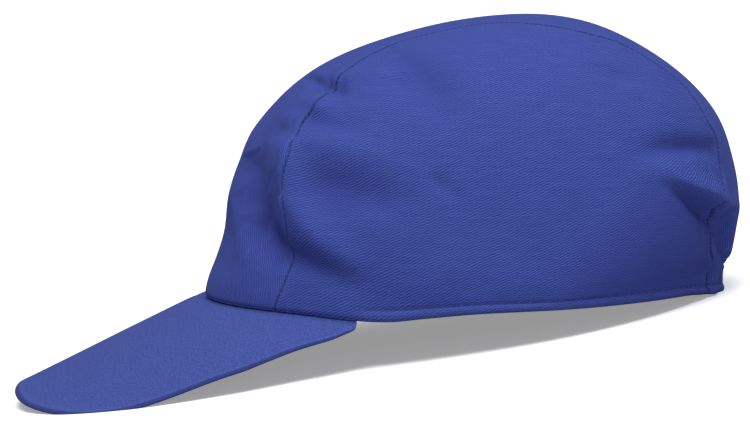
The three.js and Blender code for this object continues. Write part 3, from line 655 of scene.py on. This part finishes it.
peak_end_turn = math.acos((ear_y - peak_end_y) / math.hypot(ear_y - peak_end_y, peak_end_x))
hem_turn = np.linspace(-math.pi, math.pi, hem_steps_round + 1)[:-1]
behind_peak = 1 - smoothstep(np.abs(hem_turn), peak_end_turn - hem_rises[0], peak_end_turn + hem_rises[1])
hem_up = np.linspace(0, 1, hem_steps_high)
hem_at = rim_point(hem_turn[:, None], hem_starts + (hem_height - hem_starts) * hem_up[None])
hem_outer = through_cloth(hem_at, cloth_wall + hem_clear)
hem_inner = through_cloth(hem_at, cloth_wall + hem_clear + hem_wall)
for wall in (hem_outer, hem_inner):
    wall[..., 2] -= hem_below_peak * behind_peak[:, None] * np.clip(1 - hem_up / 0.5, 0, 1)[None]
hem_low = (hem_outer[:, :1] + hem_inner[:, :1]) / 2 - [0, 0, hem_round_low]
hem_high = (hem_outer[:, -1:] + hem_inner[:, -1:]) / 2 + [0, 0, hem_round_high]
hem_section = np.concatenate([hem_low, hem_outer, hem_high, hem_inner[:, ::-1]], 1)
hem_rows, hem_columns = hem_section.shape[:2]
hem_index = np.arange(hem_rows * hem_columns).reshape(hem_rows, hem_columns)
hem_next = np.roll(hem_index, -1, 0)
hem_faces = np.stack([hem_index, np.roll(hem_index, -1, 1), np.roll(hem_next, -1, 1), hem_next], -1)
hem_run = np.concatenate([[0], np.cumsum(np.linalg.norm(np.diff(hem_at[:, 0], axis=0), axis=1))])
hem_round = np.diff(hem_section, axis=1, prepend=hem_section[:, :1])
hem_round = np.cumsum(np.linalg.norm(hem_round, axis=2), 1)
hem_lay = np.stack([hem_run[:, None] + 0 * hem_round, hem_round], -1) / 10
hem_cloth = plain_piece("rim_hem_cloth", lie(hem_section).reshape(-1, 3), hem_faces.reshape(-1, 4).tolist(),
                        hem_lay.reshape(-1, 2), {"rubbed": np.exp(-hem_round.ravel() / 2)}, blue_twill)
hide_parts("rim_hem")
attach(hem_cloth, "root")

# Hem stitches: a row of lockstitches in twisted polyester thread holds the hem all along the free rim, with
# the elastic of the back inside it. Each stitch sinks into the cloth at both ends.

stitch_pitch = 3.6
stitch_long = 2.9
stitch_thick = 0.5
stitch_proud = 0.05
stitch_clear = 0.03
stitch_path_steps = 600


def stitch_tree():
    """Sets one stitch after another along a path, at a pitch, and gives them their thread."""
    tree = bpy.data.node_groups.new("row of stitches", "GeometryNodeTree")
    tree.interface.new_socket("Path", in_out="INPUT", socket_type="NodeSocketGeometry")
    tree.interface.new_socket("Row", in_out="OUTPUT", socket_type="NodeSocketGeometry")
    for name in ("Pitch", "Stitch length", "Thread width"):
        tree.interface.new_socket(name, in_out="INPUT", socket_type="NodeSocketFloat")
    tree.interface.new_socket("Thread", in_out="INPUT", socket_type="NodeSocketMaterial")
    n = Nodes(tree)
    given = n.add("NodeGroupInput").outputs
    spots = n.add("GeometryNodeCurveToPoints", {"Curve": given["Path"], "Length": given["Pitch"]},
                  mode="LENGTH")
    turn = n.add("FunctionNodeAlignRotationToVector", {"Vector": spots.outputs["Tangent"]}, axis="X")
    bead = n.add("GeometryNodeMeshUVSphere", {"Segments": 8, "Rings": 6, "Radius": 0.5})
    wide = given["Thread width"]
    size = n.add("ShaderNodeCombineXYZ", {0: given["Stitch length"], 1: wide, 2: wide})
    stitch = n.add("GeometryNodeTransform", {"Geometry": bead.outputs["Mesh"], "Scale": size.outputs[0]})
    smooth = n.add("GeometryNodeSetShadeSmooth", {"Geometry": stitch.outputs[0]})
    row = n.add("GeometryNodeInstanceOnPoints", {"Points": spots.outputs["Points"],
                                                 "Instance": smooth.outputs[0], "Rotation": turn.outputs[0]})
    real = n.add("GeometryNodeRealizeInstances", {"Geometry": row.outputs[0]})
    done = n.add("GeometryNodeSetMaterial", {"Geometry": real.outputs[0], "Material": given["Thread"]})
    n.add("NodeGroupOutput", {"Row": done.outputs[0]})
    return tree


def twisted_thread():
    """Matt blue thread, a little deeper than the cloth, with the bands of its twist."""
    made = bpy.data.materials.new("blue sewing thread")
    made.use_nodes = True
    n = Nodes(made.node_tree)
    place = n.add("ShaderNodeTexCoord").outputs["Object"]
    twist = n.add("ShaderNodeTexWave", {"Vector": place, "Scale": 900.0, "Distortion": 2.0},
                  bands_direction="DIAGONAL").outputs["Fac"]
    bsdf = made.node_tree.nodes["Principled BSDF"]
    n.put(bsdf.inputs["Base Color"], n.blend(twist, (0.02, 0.03, 0.165, 1), (0.034, 0.05, 0.235, 1)))
    bump = n.add("ShaderNodeBump", {"Distance": 0.08 * mm, "Height": twist})
    n.put(bsdf.inputs["Normal"], bump.outputs[0])
    bsdf.inputs["Roughness"].default_value = 0.6
    return made


stitches = stitch_tree()
thread = twisted_thread()


def row_of_stitches(name, turns, height):
    """One row of stitches along the rim, on the outside of the cloth."""
    base = rim_point(turns, height)
    path = lie(dress(base, hem_push(base) + stitch_proud)[0])
    curve = bpy.data.curves.new(name + "_path", "CURVE")
    curve.dimensions = "3D"
    spline = curve.splines.new("POLY")
    spline.points.add(len(path) - 1)
    spline.points.foreach_set("co", np.hstack([path, np.ones((len(path), 1))]).ravel())
    guide = bpy.data.objects.new(name + "_path", curve)
    bpy.context.scene.collection.objects.link(guide)
    sewn = guide.modifiers.new("stitches", "NODES")
    sewn.node_group = stitches
    sockets = {s.name: s.identifier for s in stitches.interface.items_tree if s.in_out == "INPUT"}
    for key, value in (("Pitch", stitch_pitch * mm), ("Stitch length", stitch_long * mm),
                       ("Thread width", stitch_thick * mm), ("Thread", thread)):
        sewn[sockets[key]] = value
    ready = guide.evaluated_get(bpy.context.evaluated_depsgraph_get())
    mesh = bpy.data.meshes.new_from_object(ready)
    mesh.name = name
    bpy.data.objects.remove(guide)
    row = bpy.data.objects.new(name, mesh)
    bpy.context.scene.collection.objects.link(row)
    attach(row, "root")


free_turns = np.linspace(peak_end_turn + stitch_clear, 2 * math.pi - peak_end_turn - stitch_clear,
                         stitch_path_steps)
row_of_stitches("hem_stitches", free_turns, hem_form["stitches_at"])

# Peak: a curved, springy board in a cover of closely woven blue cotton, which turns over its edge. The crown
# sits on its inner edge and is sewn to it.

peak_slope = math.radians(26)
peak_lift = 0.8
# radius of the arch across the peak, by y
peak_arch = [(-170, 118), (-140, 122), (-98, 138), (-70, 124), (-44, 113)]
peak_tip_y = -169.8
peak_wide_y = -82.0
peak_half_width = 77.0
peak_squareness = 2.12
peak_wall = 3.6
peak_end_wall = 0.7
# share of each half of the peak over which it thins to its ends
peak_nose = 0.28
# the outer part is pressed thinner, but not in the very middle: how much, and from which shares on
peak_pressed = 1.7
pressed_across = (0.02, 0.2)
pressed_out = 0.45
peak_under_crown = 0.55
# the top is drawn up to the rim over a short way in the middle and a longer one towards its ends
drawn_middle = 5
drawn_longer = 9
drawn_across = (0.2, 0.6)
# height, distance from the seam and width of the soft roll beside the crown, and of the dip in front of it
crown_roll = (0.3, 4, 1.7)
crown_roll_middle = 0.35
crown_dip = (0.5, 1.3, 0.8)
peak_steps_round = 220
peak_steps_deep = 90
peak_edge_steps = 13
plan_steps = 241
rim_front_y, rim_front_z = profile[0]


def peak_top(x, y):
    """Height of the top before it is drawn up to the rim: an arch across a straight, sloping crest."""
    crest = rim_front_z + peak_lift + math.tan(peak_slope) * (y - rim_front_y)
    radius = along_table(peak_arch, y)
    return crest - (radius - np.sqrt(radius**2 - x**2))


def peak_edge(shares):
    """Plan of the outer edge from its tip, 0, to its end, 1: a rounded square front, then in to the rim."""
    end = through_cloth(rim_point(peak_end_turn, 0)[None], -cloth_wall)[0]
    a = np.linspace(0, math.pi / 2, plan_steps)
    power = 2 / peak_squareness
    x = np.append(peak_half_width * np.sin(a) ** power, end[0])
    y = np.append(peak_wide_y + (peak_tip_y - peak_wide_y) * np.cos(a) ** power, end[1])
    run = np.concatenate([[0], np.cumsum(np.hypot(np.diff(x), np.diff(y)))])
    return np.interp(shares * run[-1], run, x), np.interp(shares * run[-1], run, y)


peak_across = spaced(peak_steps_round, 0.75)
sewn_at = rim_point(peak_across * peak_end_turn, 0)
sewn = through_cloth(sewn_at, cloth_wall)
rim_z = dress(sewn_at)[0][:, 2]
outer_x, outer_y = peak_edge(np.abs(peak_across))
outer_x = outer_x * np.sign(peak_across)
nose = np.sqrt(1 - np.clip((np.abs(peak_across) - 1) / peak_nose + 1, 0, 1) ** 2)
section_wall = peak_end_wall + (peak_wall - peak_end_wall) * nose
drawn_up = rim_z - peak_under_crown - peak_top(sewn[:, 0], sewn[:, 1])
peak_roll = crown_roll[0] + crown_roll_middle * np.cos(np.abs(peak_across) * math.pi / 2) ** 2
drawn_reach = drawn_middle + drawn_longer * smoothstep(np.abs(peak_across), *drawn_across)
section_width = np.hypot(outer_x - sewn[:, 0], outer_y - sewn[:, 1])
inward = np.stack([sewn[:, 0] - outer_x, sewn[:, 1] - outer_y], -1) / section_width[:, None]


def peak_face(out):
    """Places on the top at distances from the sewn edge, one row for each section."""
    x = sewn[:, :1] - inward[:, :1] * out
    y = sewn[:, 1:2] - inward[:, 1:] * out
    roll = peak_roll[:, None] * np.exp(-(((out - crown_roll[1]) / crown_roll[2]) ** 2))
    roll = roll - crown_dip[0] * np.exp(-(((out - crown_dip[1]) / crown_dip[2]) ** 2))
    drawn = drawn_up[:, None] * np.exp(-((out / drawn_reach[:, None]) ** 2))
    return np.stack([x, y, peak_top(x, y) + drawn + roll], -1)


pressed = peak_pressed * smoothstep(np.abs(peak_across), *pressed_across)[:, None] * nose[:, None]
half_wall = (section_wall[:, None] - pressed) / 2
flat_width = section_width[:, None] - half_wall
face_out = flat_width * (spaced(peak_steps_deep, 0.6)[None] + 1) / 2
thinned = pressed * smoothstep(face_out / flat_width, pressed_out, 1)
face = peak_face(face_out)
under = face[:, ::-1].copy()
under[..., 2] -= section_wall[:, None]
face[..., 2] -= thinned
turns = math.pi * (0.5 - np.linspace(0, 1, peak_edge_steps)[None, 1:-1])
fold_over = peak_face(flat_width + half_wall * np.cos(turns))
fold_over[..., 2] += half_wall * (np.sin(turns) - 1) - pressed
peak_section = np.concatenate([face, fold_over, under], 1)
peak_rows, peak_columns = peak_section.shape[:2]
peak_index = np.arange(peak_rows * peak_columns).reshape(peak_rows, peak_columns)
ahead = np.roll(peak_index, -1, 1)
peak_faces = np.stack([peak_index[:-1], ahead[:-1], ahead[1:], peak_index[1:]], -1).reshape(-1, 4).tolist()
peak_faces += [peak_index[0, ::-1].tolist(), peak_index[-1].tolist()]
unrolled = np.diff(peak_section, axis=1, prepend=peak_section[:, :1])
unrolled = np.cumsum(np.linalg.norm(unrolled, axis=2), 1)
peak_lay = np.stack([sewn[:, :1] - inward[:, :1] * unrolled,
                     sewn[:, 1:2] - inward[:, 1:] * unrolled], -1) / 10
past_edge = unrolled - unrolled[:, [face.shape[1] - 1]]
peak_masks = {
    "rubbed": 0.35 * np.exp(-(((past_edge + 0.6) / 0.8) ** 2)).ravel(),
    # painted shade: the cover is coloured darker where it turns over the edge and a little way under
    "turned": (smoothstep(past_edge, -0.3, 0.9) * (1 - smoothstep(past_edge, 8, 10))).ravel(),
}


def peak_cotton():
    """Closely woven cotton with a fine mottle, a few slubs that took the dye darker, a rubbed edge, and
    painted shade where it turns over.
    """
    slub_radius = 0.022
    made, n, lay, woven = woven_cotton("blue cotton peak cover", {
        "Wale pitch": 0.085, "Wale angle": math.radians(48), "Float length": 0.12, "Unevenness": 1.3})
    mottle = n.noise(lay, 11.0, 5.0)
    shade = n.maths("MULTIPLY_ADD", woven["Shade"], 0.4, 0.35)
    shade = n.maths("MULTIPLY_ADD", n.maths("SUBTRACT", mottle, 0.5), 2.1, shade)
    shade = n.add("ShaderNodeClamp", {0: shade}).outputs[0]
    dye_and_painted_shade = n.blend(shade, (0.03, 0.046, 0.195, 1), (0.06, 0.088, 0.315, 1))
    spots = n.add("ShaderNodeTexVoronoi", {"Vector": lay, "Scale": 0.42, "Randomness": 1.0})
    slub = n.maths("LESS_THAN", spots.outputs["Distance"], slub_radius)
    dye_and_painted_shade = n.blend(n.maths("MULTIPLY", slub, 0.6), dye_and_painted_shade, (0.02, 0.025, 0.11, 1))
    # painted shade on the turned-over edge
    dye_and_painted_shade = n.blend(n.maths("MULTIPLY", n.mask("turned"), 0.6), dye_and_painted_shade, (0.022, 0.033, 0.16, 1))
    worn = n.maths("MULTIPLY", n.mask("rubbed"), n.maths("MULTIPLY_ADD", mottle, 0.5, -0.05))
    bsdf = made.node_tree.nodes["Principled BSDF"]
    n.put(bsdf.inputs["Base Color"], n.blend(worn, dye_and_painted_shade, (0.16, 0.2, 0.52, 1)))
    n.put(bsdf.inputs["Roughness"], n.maths("MULTIPLY_ADD", mottle, 0.1, 0.82))
    fine = n.maths("MULTIPLY_ADD", n.noise(lay, 30.0, 3.0), 0.8, woven["Height"])
    bump = n.add("ShaderNodeBump", {"Strength": 1.0, "Distance": 0.05 * mm, "Height": fine})
    n.put(bsdf.inputs["Normal"], bump.outputs[0])
    dull_surface(bsdf, 0.03, 0.5, (0.5, 0.6, 1.0))
    return made


peak_cover = plain_piece("peak_cover", lie(peak_section).reshape(-1, 3), peak_faces, peak_lay.reshape(-1, 2),
                         peak_masks, peak_cotton())
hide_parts("peak")
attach(peak_cover, "root")

# Table, light and camera: a wide white table that glows a little, as painted light, only where the camera
# sees it, soft light from a pale room, from above and from beside the camera, and the camera level with the
# cap on the wearer's left, a little to the front.

# half the table's width, in metres
table_half = 30
table_mesh = bpy.data.meshes.new("white_table")
table_corners = [(-table_half, -table_half, 0), (table_half, -table_half, 0),
                 (table_half, table_half, 0), (-table_half, table_half, 0)]
table_mesh.from_pydata(table_corners, [], [(0, 1, 2, 3)])
table = bpy.data.objects.new("white_table", table_mesh)
bpy.context.scene.collection.objects.link(table)
white = bpy.data.materials.new("white table top")
white.use_nodes = True
white_bsdf = white.node_tree.nodes["Principled BSDF"]
# the camera sees the top white, while the light it throws back comes from a darker grey
seen = white.node_tree.nodes.new("ShaderNodeLightPath").outputs["Is Camera Ray"]
pale = Nodes(white.node_tree).blend(seen, (0.44, 0.44, 0.5, 1), (0.9, 0.9, 0.9, 1))
white.node_tree.links.new(pale, white_bsdf.inputs["Base Color"])
white_bsdf.inputs["Roughness"].default_value = 0.9
# painted light: the top glows only for the camera, which lifts the shadows on it and lights nothing else
white_bsdf.inputs["Emission Color"].default_value = (1, 1, 1, 1)
painted_glow = Nodes(white.node_tree).maths("MULTIPLY", seen, 0.3)
white.node_tree.links.new(painted_glow, white_bsdf.inputs["Emission Strength"])
table.data.materials.append(white)

world = bpy.data.worlds.new("pale room")
world.use_nodes = True
room_light = world.node_tree.nodes["Background"].inputs
room_light["Color"].default_value = (0.95, 0.96, 1.1, 1)
room_light["Strength"].default_value = 0.25
bpy.context.scene.world = world

# each light's strength, how many degrees of the sky it fills, and where it comes from
for name, energy, spread, towards in (("soft key", 3.4, 40, (0.41, 0.11, 0.905)),
                                      ("camera fill", 0.9, 60, (0.98, 0.14, -0.12))):
    light = bpy.data.lights.new(name, "SUN")
    light.energy = energy
    light.angle = math.radians(spread)
    light_object = bpy.data.objects.new(name, light)
    light_object.rotation_euler = Vector(towards).to_track_quat("Z", "Y").to_euler()
    bpy.context.scene.collection.objects.link(light_object)
bpy.context.scene.view_settings.view_transform = "Standard"

camera_distance = 1600.0
camera_up = math.radians(4.5)
camera_round = math.radians(2.5)
aim_left = 33.07
aim_low = 20.64
picture_width = 750
pixels_per_mm = 2.64
sensor_width = 36
to_camera = Vector((math.cos(camera_up) * math.cos(camera_round),
                    -math.cos(camera_up) * math.sin(camera_round), math.sin(camera_up)))
picture_right = Vector((0, 0, 1)).cross(to_camera).normalized()
picture_up = to_camera.cross(picture_right)
middle = Vector((0, 0, 50))
stand = middle + to_camera * camera_distance
aim = middle - picture_right * aim_left - picture_up * aim_low
# the camera is set as the cap is worn, and then tipped back with it
tip_back = Matrix.Rotation(-rest_tip_back, 3, "X")
backwards = (tip_back @ (stand - aim)).normalized()
sideways = (tip_back @ picture_up).cross(backwards).normalized()
axes = Matrix((sideways, backwards.cross(sideways), backwards)).transposed()
camera = bpy.data.cameras.new("camera")
camera.sensor_width = sensor_width
camera.lens = sensor_width * camera_distance * pixels_per_mm / picture_width
camera.clip_end = 100
camera_object = bpy.data.objects.new("camera", camera)
camera_place = (tip_back @ stand + Vector((0, rest_forward, rest_lift))) * mm
camera_object.matrix_world = Matrix.Translation(camera_place) @ axes.to_4x4()
bpy.context.scene.collection.objects.link(camera_object)
bpy.context.scene.camera = camera_object
